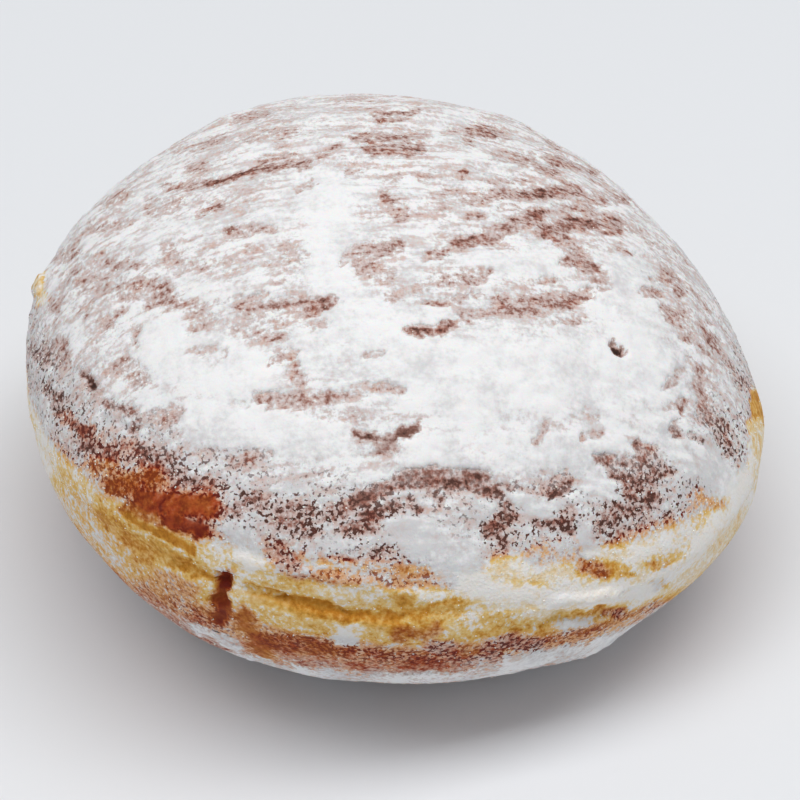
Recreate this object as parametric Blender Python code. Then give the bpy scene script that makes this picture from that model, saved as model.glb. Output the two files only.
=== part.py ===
"""A round filled doughnut: one solid of fried dough, in metres, +Z up.

The doughnut stands on its flat foot at z = 0, with its centre over the origin. A dome sits on a
shallower underside, and between them the pale waist is pinched into a crease. -Y is the front.
"""

from math import cos, exp, hypot, pi, radians, sin, sqrt

import bmesh
import bpy
from mathutils import Matrix, Vector, noise

# Driving sizes
MEAN_RADIUS = 0.0473
HEIGHT = 0.0530
WAIST_HEIGHT = 0.0219
FOOT_RADIUS = 0.0200

# How full the dome and the underside are: 2 is an ellipse, more is squarer
DOME_FULLNESS = 2.02
UNDERSIDE_FULLNESS = 1.94

# The plan is a little out of round: (lobes, share of the radius, angle in degrees)
PLAN_LOBES = ((2, 0.010, -59), (3, 0.005, 122), (4, 0.012, -22))
# The dome rose off centre, and the waist rides up and down round the dough
DOME_LEAN = Vector((-0.0050, 0.0031, 0.0))
WAIST_WAVES = ((1, 0.0047, -120), (2, 0.0022, -103), (3, 0.0006, -19))

# The pale band round the waist is a wide shallow hollow, with a narrow crease in it
BAND_DEPTH = 0.0002
BAND_WIDTH = 0.0042
CREASE_DEPTH = 0.0005
CREASE_WIDTH = 0.0012
# The crease is deepest at the front, and it dips to the foot of the band at the front right
CREASE_FRONT = -90
CREASE_SHARE_BEHIND = 0.4
CREASE_DIP = 0.0030
CREASE_DIP_ANGLE = -52
CREASE_DIP_REACH = 26

# Broad unevenness of the dough: (size of a swelling, how far it stands out)
SWELLINGS = ((0.034, 0.0005), (0.015, 0.0004))
# Bulges and hollows that show in the outline:
# (angle round the dough in degrees, height, reach, how far it stands out)
BULGES = (
    (26, 0.035, 0.012, -0.0005),
    (7, 0.028, 0.008, -0.0006),
    (60, 0.040, 0.004, 0.0006),
    (-55, 0.007, 0.005, 0.0013),
    (-80, 0.007, 0.009, 0.0003),
    (-148, 0.014, 0.008, -0.0005),
    (172, 0.034, 0.003, 0.0009),
    (124, 0.044, 0.009, 0.0004),
)
# Wrinkles of the dome's skin run from side to side, longer than they are wide
WRINKLE_LENGTH = 0.017
WRINKLE_WIDTH = 0.0052
WRINKLE_DEPTH = 0.0008
WRINKLE_SLANT = 8
# Where they begin and where they are full, as shares of the way from the waist to the top
WRINKLE_START = 0.28
WRINKLE_FULL = 0.83
# Sunken blisters of the skin, all over
BLISTER_SIZE = 0.0065
BLISTER_DEPTH = 0.0004
BLISTER_SHIFT = Vector((7, 3, 5))
# The height over which all relief dies out at the table, so that the foot keeps its rim
FOOT_FADE = 0.0055

# The mesh: segments round the dough, rings up each half, and where the crown's grid begins
SEGMENTS = 104
DOME_RINGS = 24
UNDERSIDE_RINGS = 18
CREASE_CROWDING = 1.35
CROWN_TURN = 0.70
CROWN_CELLS = SEGMENTS // 4

CORE = Vector((0.0, 0.0, WAIST_HEIGHT))
CRUST_COLOUR = (0.36, 0.13, 0.035, 1.0)
CRUST_ROUGHNESS = 0.6


def waves(terms, angle):
    """The sum of a few cosines round the dough."""
    return sum(size * cos(lobes * (angle - radians(at))) for lobes, size, at in terms)


def plan_radius(angle):
    """Radius of the waist, seen from above."""
    return MEAN_RADIUS * (1 + waves(PLAN_LOBES, angle))


def waist_height(angle):
    """Height of the crease above the table."""
    return WAIST_HEIGHT + waves(WAIST_WAVES, angle)


def quarter_arc(fullness, turn):
    """A full quarter arc of size 1, as (reach, rise): turn 0 is at the waist, and 1 on the axis."""
    reach = max(cos(turn * pi / 2), 0.0) ** (2 / fullness)
    return reach, sin(turn * pi / 2) ** (2 / fullness)


def dome_point(angle, reach, rise):
    """A point of the plain dome."""
    waist = waist_height(angle)
    height = waist + (HEIGHT - waist) * rise
    radius = plan_radius(angle) * reach
    lean = DOME_LEAN * max(0.0, (height - WAIST_HEIGHT) / (HEIGHT - WAIST_HEIGHT))
    return Vector((radius * cos(angle), radius * sin(angle), height)) + lean


def underside_point(angle, reach, drop):
    """A point of the plain underside, which curves in to the rim of the flat foot."""
    radius = FOOT_RADIUS + (plan_radius(angle) - FOOT_RADIUS) * reach
    return Vector((radius * cos(angle), radius * sin(angle), waist_height(angle) * (1 - drop)))


def bell(distance, width):
    """A smooth bump of height 1 that fades out over its width."""
    return exp(-((distance / width) ** 2))


def turned_from(angle, place):
    """How far an angle is from a place given in degrees, in radians from 0 to pi."""
    return abs((angle - radians(place) + pi) % (2 * pi) - pi)


def waist_relief(angle, height):
    """The hollow of the pale band, and the crease in it."""
    above_waist = height - waist_height(angle)
    dip = CREASE_DIP * bell(turned_from(angle, CREASE_DIP_ANGLE), radians(CREASE_DIP_REACH))
    front = (1 + cos(turned_from(angle, CREASE_FRONT))) / 2
    share = CREASE_SHARE_BEHIND + (1 - CREASE_SHARE_BEHIND) * front
    crease = CREASE_DEPTH * share * bell(above_waist + dip, CREASE_WIDTH)
    return -crease - BAND_DEPTH * bell(above_waist, BAND_WIDTH)


def swelling(point, angle):
    """Broad unevenness of the dough, and the bulges that show in its outline."""
    height = sum(depth * noise.noise(point / size) for size, depth in SWELLINGS)
    for place, level, reach, stand in BULGES:
        along = hypot(point.x, point.y) * turned_from(angle, place)
        height += stand * bell(hypot(along, point.z - level), reach)
    return height


def wrinkles(point):
    """Shallow side-to-side wrinkles, which fade out down the flanks."""
    turned = Matrix.Rotation(radians(-WRINKLE_SLANT), 3, "Z") @ point
    stretched = Vector((turned.x / WRINKLE_LENGTH, turned.y / WRINKLE_WIDTH, turned.z / WRINKLE_LENGTH))
    up_the_dome = (point.z - WAIST_HEIGHT) / (HEIGHT - WAIST_HEIGHT)
    share = (up_the_dome - WRINKLE_START) / (WRINKLE_FULL - WRINKLE_START)
    return -WRINKLE_DEPTH * min(1.0, max(0.0, share)) * abs(noise.noise(stretched))


def blisters(point):
    """Small sunken blisters all over."""
    return BLISTER_DEPTH * noise.noise(point / BLISTER_SIZE + BLISTER_SHIFT)


def finished(point, angle):
    """Moves a point of the plain body out or in, to the finished skin."""
    outward = (point - CORE).normalized()
    relief = waist_relief(angle, point.z) + swelling(point, angle)
    relief += wrinkles(point) + blisters(point)
    return point + outward * relief * min(1.0, point.z / FOOT_FADE)


def ring(bm, place, fullness, turn):
    """One ring of vertices round the dough, at one turn of the arc."""
    angles = [2 * pi * segment / SEGMENTS for segment in range(SEGMENTS)]
    reach, rise = quarter_arc(fullness, turn)
    return [bm.verts.new(finished(place(angle, reach, rise), angle)) for angle in angles]


def crowded(step, steps, end):
    """Turn of a ring, with the rings crowded towards the crease."""
    return end * (step / steps) ** CREASE_CROWDING


def join_rings(bm, lower, upper):
    """A band of quads between two rings."""
    for i in range(SEGMENTS):
        j = (i + 1) % SEGMENTS
        bm.faces.new((lower[i], lower[j], upper[j], upper[i]))


def fill_crown(bm, rim):
    """Fills the rim with a square grid bent round, so that no thin triangles meet on top."""
    rim_reach = quarter_arc(DOME_FULLNESS, CROWN_TURN)[0]
    bends = [pi / 4 * (2 * step / CROWN_CELLS - 1) for step in range(CROWN_CELLS + 1)]
    grid = {}
    for i, across in enumerate(bends):
        for j, along in enumerate(bends):
            x = sqrt(2) * sin(across) * cos(along)
            y = sqrt(2) * sin(along) * cos(across)
            angle = Vector((x, y)).angle_signed(Vector((1, 0))) if hypot(x, y) > 0 else 0.0
            if i in (0, CROWN_CELLS) or j in (0, CROWN_CELLS):
                grid[i, j] = rim[round(angle / (2 * pi) * SEGMENTS) % SEGMENTS]
                continue
            reach = rim_reach * hypot(x, y)
            rise = (1 - reach**DOME_FULLNESS) ** (1 / DOME_FULLNESS)
            grid[i, j] = bm.verts.new(finished(dome_point(angle, reach, rise), angle))
    for i in range(CROWN_CELLS):
        for j in range(CROWN_CELLS):
            bm.faces.new((grid[i, j], grid[i + 1, j], grid[i + 1, j + 1], grid[i, j + 1]))


def doughnut_mesh():
    """The closed skin: a flat foot, the underside's rings, the dome's rings and the crown."""
    bm = bmesh.new()
    rings = []
    for step in range(UNDERSIDE_RINGS, 0, -1):
        turn = crowded(step, UNDERSIDE_RINGS, 1.0)
        rings.append(ring(bm, underside_point, UNDERSIDE_FULLNESS, turn))
    for step in range(DOME_RINGS + 1):
        turn = crowded(step, DOME_RINGS, CROWN_TURN)
        rings.append(ring(bm, dome_point, DOME_FULLNESS, turn))
    for lower, upper in zip(rings, rings[1:]):
        join_rings(bm, lower, upper)
    fill_crown(bm, rings[-1])
    bm.faces.new(reversed(rings[0]))
    bm.normal_update()
    return bm


def centre_on_origin(bm):
    """Centres the box of the doughnut over the origin."""
    for axis in (0, 1):
        places = [vert.co[axis] for vert in bm.verts]
        shift = Vector((0, 0, 0))
        shift[axis] = -(min(places) + max(places)) / 2
        bmesh.ops.translate(bm, verts=bm.verts, vec=shift)


def crust_material():
    """Plain fried crust."""
    material = bpy.data.materials.new("fried crust")
    material.use_nodes = True
    shader = material.node_tree.nodes["Principled BSDF"]
    shader.inputs["Base Color"].default_value = CRUST_COLOUR
    shader.inputs["Roughness"].default_value = CRUST_ROUGHNESS
    shader.inputs["Metallic"].default_value = 0.0
    return material


def build():
    """Makes the one object of the scene."""
    for old in list(bpy.data.objects):
        bpy.data.objects.remove(old)
    bm = doughnut_mesh()
    centre_on_origin(bm)
    mesh = bpy.data.meshes.new("doughnut")
    bm.to_mesh(mesh)
    bm.free()
    mesh.materials.append(crust_material())
    mesh.shade_smooth()
    bpy.context.scene.collection.objects.link(bpy.data.objects.new("doughnut", mesh))


build()
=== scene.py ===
# %% [markdown]
# # A filled doughnut under powdered sugar
#
# This notebook dresses one bavarian cream doughnut. The shape of the dough is already fixed by a
# frame: a plain closed solid at real size. Here it gets its fried crust, its pale waist and its
# coat of powdered sugar, and at the end a table and soft light.
#
# The plan has four pieces. The crust is one skin over the whole dough. The thick sugar on the
# dome and the sugar that sticks round the foot are shells of their own with ragged holes, because
# real sugar lies on the crust and has an edge. Loose grains are scattered on top.

# %% Load the frame
from math import pi, radians

import bmesh
import bpy
import numpy as np
from mathutils import Euler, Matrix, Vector
from mathutils.bvhtree import BVHTree


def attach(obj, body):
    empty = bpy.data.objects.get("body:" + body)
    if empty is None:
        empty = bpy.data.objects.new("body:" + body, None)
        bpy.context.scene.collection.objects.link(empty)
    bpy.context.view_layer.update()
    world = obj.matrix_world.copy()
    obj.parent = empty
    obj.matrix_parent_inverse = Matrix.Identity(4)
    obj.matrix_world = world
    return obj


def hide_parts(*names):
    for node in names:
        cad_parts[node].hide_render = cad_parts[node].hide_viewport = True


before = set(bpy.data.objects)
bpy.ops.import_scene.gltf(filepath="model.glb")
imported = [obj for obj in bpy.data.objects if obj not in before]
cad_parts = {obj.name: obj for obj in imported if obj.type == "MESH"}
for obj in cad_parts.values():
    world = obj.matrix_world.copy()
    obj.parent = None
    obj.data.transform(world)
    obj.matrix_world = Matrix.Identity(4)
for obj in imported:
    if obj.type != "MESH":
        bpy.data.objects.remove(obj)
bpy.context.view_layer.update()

MM = 0.001
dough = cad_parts["doughnut"]

# %% [markdown]
# ## The camera
#
# A camera could be placed by eye. Here it was fitted to the doughnut's outline, because every
# streak of crust is later placed by where it shows in the picture: the view looks down by about
# 40 degrees, from 0.4 m away. The focal length is in pixels of a picture 800 pixels wide.

# %% Place the camera
PICTURE = 800
FOCAL_PIXELS = 3117
SENSOR_MM = 36
NEAREST_SEEN = 0.01
VIEW_ELEVATION = radians(39.9)
VIEW_DISTANCE = 0.400
VIEW_TARGET = Vector((0.0006, 0.0, 0.0203))

view_back = Vector((0, -np.cos(VIEW_ELEVATION), np.sin(VIEW_ELEVATION)))
view_up = Vector((0, np.sin(VIEW_ELEVATION), np.cos(VIEW_ELEVATION)))
eye = VIEW_TARGET + VIEW_DISTANCE * view_back

lens = bpy.data.cameras.new("camera")
lens.sensor_width = SENSOR_MM
lens.lens = SENSOR_MM * FOCAL_PIXELS / PICTURE
lens.clip_start = NEAREST_SEEN
camera = bpy.data.objects.new("camera", lens)
camera.location = eye
camera.rotation_euler = (pi / 2 - VIEW_ELEVATION, 0, 0)
bpy.context.scene.collection.objects.link(camera)
bpy.context.scene.camera = camera
print("camera at", [round(c, 4) for c in eye], "with a lens of", round(lens.lens, 1), "mm")


# %% [markdown]
# ## From a point on the dough to a pixel
#
# To put a mark where it shows in the picture, each point of the skin is projected to its pixel.
# A point only gets marks if it faces the camera, so marks don't come out again on the back.

# %% Project points to pixels
def pixels_of(points):
    """Where points show in the picture, as columns and rows."""
    away = points - np.array(eye)
    depth = -(away @ np.array(view_back))
    columns = PICTURE / 2 + FOCAL_PIXELS * away[:, 0] / depth
    rows = PICTURE / 2 - FOCAL_PIXELS * (away @ np.array(view_up)) / depth
    return np.stack([columns, rows], -1)


FACING_FADE = 0.12
FACING_AT_RIM = 0.4


def facing(points, normals):
    """1 where the skin faces the camera, 0 where it faces away, with a soft change between."""
    towards = np.array(eye) - points
    towards /= np.linalg.norm(towards, axis=1, keepdims=True)
    return np.clip((towards * normals).sum(1) / FACING_FADE + FACING_AT_RIM, 0, 1)


# %% [markdown]
# ## Noise for uneven things
#
# Nothing on a doughnut is even. Gradient noise gives smooth hills and hollows of a chosen size.
# It is worked out for all points at once with numpy, because a loop over every point is slow.

# %% Smooth noise
def ease(x):
    """A smooth step from 0 to 1."""
    x = np.clip(x, 0, 1)
    return x * x * (3 - 2 * x)


def blend(a, b, share):
    """From a at share 0 to b at share 1."""
    return a + (b - a) * share


NOISE_TURN = np.array(Euler((0.5, 0.7, 0.3)).to_matrix())
SEED_STEP = 37.3
NOISE_GAIN = 1.6
SHUFFLE = (73856093, 19349663, 83492791)
SHUFFLE_AGAIN = 1274126177


def hills(points, size, seed):
    """Smooth noise of about -1 to 1 whose hills are about as wide as size. size may be one number,
    or one for each axis. Its grid is turned, so that no straight line runs along an axis."""
    grid = points / np.asarray(size, float) @ NOISE_TURN + SEED_STEP * seed
    cell = np.floor(grid).astype(np.int64)
    inside = grid - cell
    weight = inside**3 * (inside * (inside * 6 - 15) + 10)
    total = np.zeros(len(points))
    for corner in np.ndindex(2, 2, 2):
        # shuffled bits of the corner's place give the slope of the noise there
        x, y, z = (cell + corner).T * np.array(SHUFFLE)[:, None]
        code = x ^ y ^ z
        code = ((code ^ (code >> 13)) * SHUFFLE_AGAIN) & 0xFFFFFFFF
        code ^= code >> 15
        slope = np.stack([(code >> shift & 1023) / 511.5 - 1 for shift in (0, 10, 20)], -1)
        share = np.prod(np.where(corner, weight, 1 - weight), axis=1)
        total += share * (slope * (inside - corner)).sum(1)
    return NOISE_GAIN * total


def rough(points, size, seed, octaves=3):
    """Noise with finer noise on top of it."""
    layers = [hills(points, np.asarray(size) / 2**k, seed + k) / 2**k for k in range(octaves)]
    return sum(layers) / sum(1 / 2**k for k in range(octaves))


sample = np.random.default_rng(1).random((500, 3))
print("noise ranges over", np.round(np.ptp(rough(sample, 0.1, 1)), 2))


# %% [markdown]
# ## A smooth skin over the dough
#
# The frame's solid is made of flat triangles, which would show. Its triangles are joined into
# four-sided faces again and the result is divided twice by a Subdivision Surface, which rounds
# it. The foot is made one flat face first, so that it stays flat.

# %% Make the smooth skin
SAME_PLACE = 0.01 * MM


def link(name, mesh):
    """An object for a mesh, put in the scene."""
    made = bpy.data.objects.new(name, mesh)
    bpy.context.scene.collection.objects.link(made)
    return made


def smooth_skin(levels):
    """A rounded copy of the dough as a mesh, with no relief yet."""
    bm = bmesh.new()
    bm.from_mesh(dough.data)
    bmesh.ops.remove_doubles(bm, verts=bm.verts, dist=SAME_PLACE)
    foot = [f for f in bm.faces if all(v.co.z < SAME_PLACE for v in f.verts)]
    bmesh.ops.dissolve_faces(bm, faces=foot)
    triangles = [f for f in bm.faces if len(f.verts) == 3]
    bmesh.ops.join_triangles(bm, faces=triangles, angle_face_threshold=pi, angle_shape_threshold=pi)
    mesh = bpy.data.meshes.new("skin")
    bm.to_mesh(mesh)
    bm.free()
    holder = link("skin", mesh)
    divide = holder.modifiers.new("divide", "SUBSURF")
    divide.levels = levels
    smooth = bpy.data.meshes.new_from_object(holder.evaluated_get(bpy.context.evaluated_depsgraph_get()))
    bpy.data.objects.remove(holder)
    return smooth


def read_mesh(mesh):
    """The places and normals of a mesh's vertices."""
    places = np.zeros(len(mesh.vertices) * 3)
    normals = np.zeros(len(mesh.vertices) * 3)
    mesh.vertices.foreach_get("co", places)
    mesh.vertex_normals.foreach_get("vector", normals)
    return places.reshape(-1, 3), normals.reshape(-1, 3)


skin = smooth_skin(levels=2)
skin_points, skin_normals = read_mesh(skin)
print("the smooth skin has", len(skin.polygons), "faces, of which",
      sum(len(p.vertices) == 3 for p in skin.polygons), "are triangles")

# %% [markdown]
# ## Where the waist runs
#
# Dough floats while it fries, so each half is fried in turn, and the strip at the water line
# never touches the fat for long. It stays pale. The line isn't level: it rides up and down round
# the dough. The same few waves that shape the dough give its height here.

# %% The waist line
WAIST_HEIGHT = 0.0219
WAIST_WAVES = ((1, 0.0047, -120), (2, 0.0022, -103), (3, 0.0006, -19))


def above_waist(points):
    """Height above the waist line, in millimetres."""
    angle = np.arctan2(points[:, 1], points[:, 0])
    line = WAIST_HEIGHT + sum(a * np.cos(n * (angle - radians(at))) for n, a, at in WAIST_WAVES)
    return (points[:, 2] - line) / MM


def over(value, start, fade):
    """0 where the value is under the start, rising to 1 over the fade above it."""
    return ease((value - start) / fade)


def under(value, start, fade):
    """0 where the value is over the start, rising to 1 over the fade below it."""
    return ease((start - value) / fade)


print("most above the waist:", np.round(above_waist(skin_points).max(), 1), "mm")

# %% [markdown]
# ## Marks placed one by one
#
# Sugar lies in the wrinkles of the crust and is rubbed off the ridges between them, so the crust
# shows in streaks. The big ones are placed one by one, as strokes of a brush: two ends, half a
# width and how bare the crust is there. All are in pixels of the picture. The list could be left
# to noise alone, but then the doughnut would be some doughnut, and not this one.

# %% Streaks on the dome
STREAKS = (
    # on the crown, from left to right
    (178, 187, 200, 184, 3, 0.7), (200, 183, 255, 172, 3, 1.0), (255, 169, 305, 163, 4, 0.85),
    (163, 186, 178, 187, 3, 0.6), (258, 160, 296, 157, 5, 0.6), (190, 167, 204, 165, 3, 0.6),
    (197, 147, 222, 137, 4, 0.6), (178, 151, 198, 145, 3, 0.4), (236, 120, 266, 112, 3, 0.55),
    (266, 117, 292, 118, 3, 0.4), (270, 131, 291, 131, 4, 0.6), (245, 138, 258, 137, 3, 0.5),
    (278, 143, 286, 143, 3, 0.5), (320, 155, 335, 146, 5, 0.5), (299, 190, 312, 180, 4, 0.5),
    (335, 98, 384, 97, 4, 0.35), (380, 117, 415, 111, 5, 0.65), (360, 135, 402, 139, 8, 0.65),
    (370, 151, 422, 147, 5, 0.85), (405, 131, 426, 135, 4, 0.45), (345, 171, 358, 171, 3, 0.6),
    (385, 178, 399, 178, 3, 0.5), (362, 208, 376, 208, 4, 0.3), (386, 198, 401, 212, 7, 0.6),
    (225, 230, 238, 231, 4, 0.65), (245, 232, 271, 227, 4, 0.7), (200, 212, 222, 205, 4, 0.7),
    (148, 203, 180, 203, 5, 0.5), (150, 212, 172, 210, 4, 0.45), (100, 208, 125, 191, 4, 0.5),
    (80, 233, 93, 227, 4, 0.45), (100, 228, 129, 220, 4, 0.5), (165, 246, 178, 259, 6, 0.65),
    (150, 263, 166, 258, 3, 0.5), (180, 270, 200, 264, 3, 0.5), (110, 266, 135, 262, 5, 0.7),
    (245, 248, 258, 248, 4, 0.4), (265, 262, 306, 255, 4, 0.5), (214, 262, 230, 266, 4, 0.4),
    (230, 270, 250, 262, 3, 0.35), (270, 282, 291, 280, 3, 0.35), (340, 262, 352, 252, 4, 0.5),
    (350, 253, 402, 245, 6, 0.65), (364, 264, 386, 275, 9, 0.55), (385, 297, 402, 294, 3, 0.5),
    # at the upper right
    (468, 131, 494, 131, 4, 0.8), (448, 128, 506, 133, 6, 0.4), (466, 140, 475, 141, 3, 0.6),
    (495, 158, 535, 155, 5, 0.55), (513, 157, 532, 160, 5, 0.75), (540, 165, 552, 172, 5, 0.7),
    (420, 174, 431, 173, 3, 0.6), (458, 173, 467, 173, 4, 0.75), (488, 180, 523, 180, 2, 0.45),
    (440, 195, 476, 198, 7, 0.35), (450, 190, 462, 192, 4, 0.55), (465, 198, 476, 198, 4, 0.55),
    (489, 196, 505, 190, 5, 0.65), (497, 194, 531, 193, 5, 0.8), (538, 193, 576, 189, 6, 0.9),
    (500, 208, 521, 206, 3, 0.55), (555, 210, 591, 203, 5, 0.65), (465, 218, 481, 217, 4, 0.65),
    (458, 244, 500, 232, 6, 0.9), (500, 230, 541, 215, 7, 0.9), (543, 230, 572, 223, 7, 0.9),
    (570, 222, 617, 226, 6, 0.9), (590, 215, 622, 222, 4, 0.55), (558, 240, 580, 250, 6, 0.8),
    (570, 258, 590, 266, 7, 0.95), (590, 270, 605, 285, 6, 0.7), (580, 190, 606, 200, 4, 0.65),
    (619, 198, 629, 200, 3, 0.65), (590, 175, 620, 195, 3, 0.4), (544, 139, 561, 144, 3, 0.6),
    (532, 126, 537, 127, 3, 0.6), (550, 158, 576, 164, 4, 0.65), (575, 165, 596, 172, 3, 0.55),
    (617, 247, 629, 251, 4, 0.65), (630, 228, 641, 230, 3, 0.5), (424, 256, 441, 252, 4, 0.65),
    (490, 245, 516, 250, 5, 0.35), (419, 286, 441, 278, 6, 0.6), (444, 280, 486, 275, 6, 0.6),
    (474, 295, 483, 296, 3, 0.55), (428, 303, 466, 300, 3, 0.75), (559, 320, 583, 321, 3, 0.7),
    (545, 279, 556, 278, 3, 0.5),
    # the biggest one, in the middle
    (462, 317, 500, 309, 6, 0.7), (498, 307, 545, 305, 10, 0.7), (540, 302, 570, 299, 8, 0.75),
    (565, 297, 590, 294, 6, 0.7), (420, 332, 451, 326, 5, 0.95), (407, 330, 416, 331, 3, 0.75),
    # on the left
    (80, 279, 168, 291, 11, 0.5), (84, 262, 106, 262, 10, 0.4), (147, 304, 171, 298, 4, 0.85),
    (119, 296, 151, 288, 3, 0.55), (150, 290, 169, 292, 5, 0.65), (81, 311, 91, 304, 4, 0.55),
    (99, 322, 121, 308, 3, 0.6), (104, 328, 116, 325, 3, 0.5), (133, 331, 134, 343, 4, 0.7),
    (165, 305, 191, 303, 3, 0.5), (190, 303, 251, 297, 2, 0.45), (194, 314, 211, 323, 7, 0.55),
    (189, 329, 206, 325, 3, 0.6), (237, 309, 277, 304, 5, 0.85), (273, 303, 328, 302, 5, 0.85),
    (254, 297, 266, 297, 3, 0.55), (325, 303, 342, 303, 2, 0.4), (294, 313, 317, 311, 3, 0.65),
    (309, 324, 329, 321, 3, 0.6), (254, 318, 276, 320, 3, 0.55), (234, 330, 251, 325, 3, 0.55),
    (249, 338, 287, 335, 5, 0.55), (274, 328, 284, 321, 3, 0.55), (190, 351, 213, 349, 3, 0.5),
    (224, 355, 229, 351, 3, 0.5), (277, 350, 293, 352, 3, 0.6), (269, 362, 292, 358, 3, 0.8),
    (294, 365, 303, 384, 4, 0.6), (364, 356, 379, 352, 3, 0.5), (204, 357, 213, 362, 4, 0.4),
    (238, 403, 251, 402, 4, 0.4), (257, 398, 302, 400, 5, 0.75), (270, 405, 302, 405, 4, 0.65),
    (300, 398, 332, 398, 4, 0.65), (330, 395, 361, 395, 4, 0.7), (359, 386, 386, 385, 4, 0.55),
    (384, 388, 405, 391, 3, 0.6), (318, 412, 356, 418, 6, 0.45), (358, 434, 376, 437, 4, 0.85),
    (380, 446, 393, 440, 5, 0.8), (400, 433, 416, 425, 4, 0.85), (386, 450, 391, 451, 3, 0.6),
    # on the right
    (616, 344, 624, 351, 4, 0.6), (647, 292, 656, 292, 4, 0.75), (659, 280, 669, 282, 3, 0.65),
    (669, 272, 681, 291, 6, 0.6), (665, 310, 679, 321, 6, 0.6), (679, 304, 686, 308, 3, 0.5),
    (682, 338, 691, 337, 4, 0.7), (655, 245, 671, 266, 4, 0.4), (679, 249, 696, 263, 3, 0.35),
    (689, 290, 706, 311, 3, 0.45), (704, 325, 722, 358, 4, 0.65), (699, 344, 706, 351, 3, 0.5),
    (719, 355, 746, 386, 5, 0.5), (689, 361, 700, 372, 4, 0.7), (700, 372, 705, 401, 5, 0.65),
    (702, 409, 720, 429, 6, 0.85), (719, 430, 728, 455, 4, 0.75), (664, 386, 681, 371, 3, 0.55),
    (666, 408, 676, 406, 3, 0.5), (679, 402, 681, 413, 3, 0.85), (674, 422, 678, 433, 3, 0.85),
    (692, 435, 701, 441, 3, 0.75), (739, 415, 746, 421, 3, 0.4), (739, 430, 735, 451, 3, 0.4),
    (546, 424, 535, 439, 4, 0.6), (584, 411, 591, 416, 3, 0.45), (582, 439, 596, 431, 4, 0.55),
)
print(len(STREAKS), "streaks")

# %% [markdown]
# Lower down, on the flank, the sugar is thin and breaks up into specks. These marks are broad and
# soft, and the noise that is added later breaks them up. A second list holds the white places.

# %% Speckled places and white places on the flank
FLANK_MARKS = (
    (600, 458, 614, 461, 5, 0.8), (607, 465, 616, 473, 5, 0.75), (640, 447, 651, 451, 6, 0.75),
    (624, 471, 651, 462, 10, 0.65), (659, 467, 669, 471, 5, 0.75), (628, 491, 651, 480, 12, 0.6),
    (654, 497, 661, 497, 4, 0.8), (604, 512, 641, 505, 10, 0.65), (600, 526, 611, 521, 7, 0.75),
    (614, 536, 641, 530, 12, 0.55), (667, 517, 673, 525, 5, 0.75), (550, 486, 566, 478, 8, 0.65),
    (552, 494, 566, 490, 5, 0.95), (554, 526, 576, 510, 7, 0.7), (559, 525, 569, 531, 5, 0.85),
    (538, 524, 544, 529, 4, 0.75), (398, 481, 431, 475, 9, 0.9), (429, 480, 481, 481, 11, 0.85),
    (479, 488, 502, 493, 6, 0.85), (434, 495, 441, 501, 4, 0.7), (411, 500, 419, 509, 5, 0.75),
    (500, 495, 511, 516, 9, 0.65), (489, 531, 506, 519, 9, 0.8), (494, 538, 501, 546, 6, 0.85),
    (494, 559, 501, 576, 7, 0.45), (514, 485, 546, 492, 5, 0.45), (544, 545, 556, 576, 9, 0.5),
    (519, 591, 561, 570, 10, 0.45), (573, 579, 583, 569, 3, 0.6), (355, 501, 386, 489, 9, 0.95),
    (369, 517, 396, 509, 9, 0.85), (344, 531, 371, 524, 9, 0.75), (298, 511, 342, 515, 11, 0.6),
    (249, 500, 301, 509, 12, 0.55), (279, 520, 311, 530, 12, 0.6), (279, 545, 296, 566, 9, 0.65),
    (338, 556, 347, 557, 4, 0.65), (322, 560, 329, 562, 4, 0.55), (369, 556, 381, 551, 6, 0.7),
    (318, 576, 337, 571, 6, 0.6), (400, 561, 421, 571, 9, 0.65), (434, 584, 446, 587, 6, 0.5),
    (214, 509, 241, 521, 9, 0.7), (159, 470, 212, 491, 15, 0.6), (119, 449, 161, 461, 14, 0.65),
    (84, 444, 112, 456, 10, 0.75), (229, 461, 266, 455, 8, 0.45), (199, 451, 241, 450, 5, 0.35),
    (74, 424, 92, 436, 7, 0.85), (59, 409, 76, 425, 8, 0.65), (44, 389, 62, 401, 8, 0.6),
    (36, 351, 60, 359, 10, 0.55), (48, 345, 62, 343, 7, 0.6), (53, 300, 53, 321, 3, 0.55),
    (84, 371, 91, 386, 5, 0.6), (87, 383, 91, 387, 3, 0.9), (119, 364, 141, 376, 12, 0.5),
    (104, 405, 137, 411, 4, 0.75), (144, 421, 176, 414, 10, 0.45), (127, 428, 132, 429, 4, 0.85),
    (60, 283, 76, 274, 5, 0.45), (60, 259, 76, 244, 5, 0.45),
)
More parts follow.
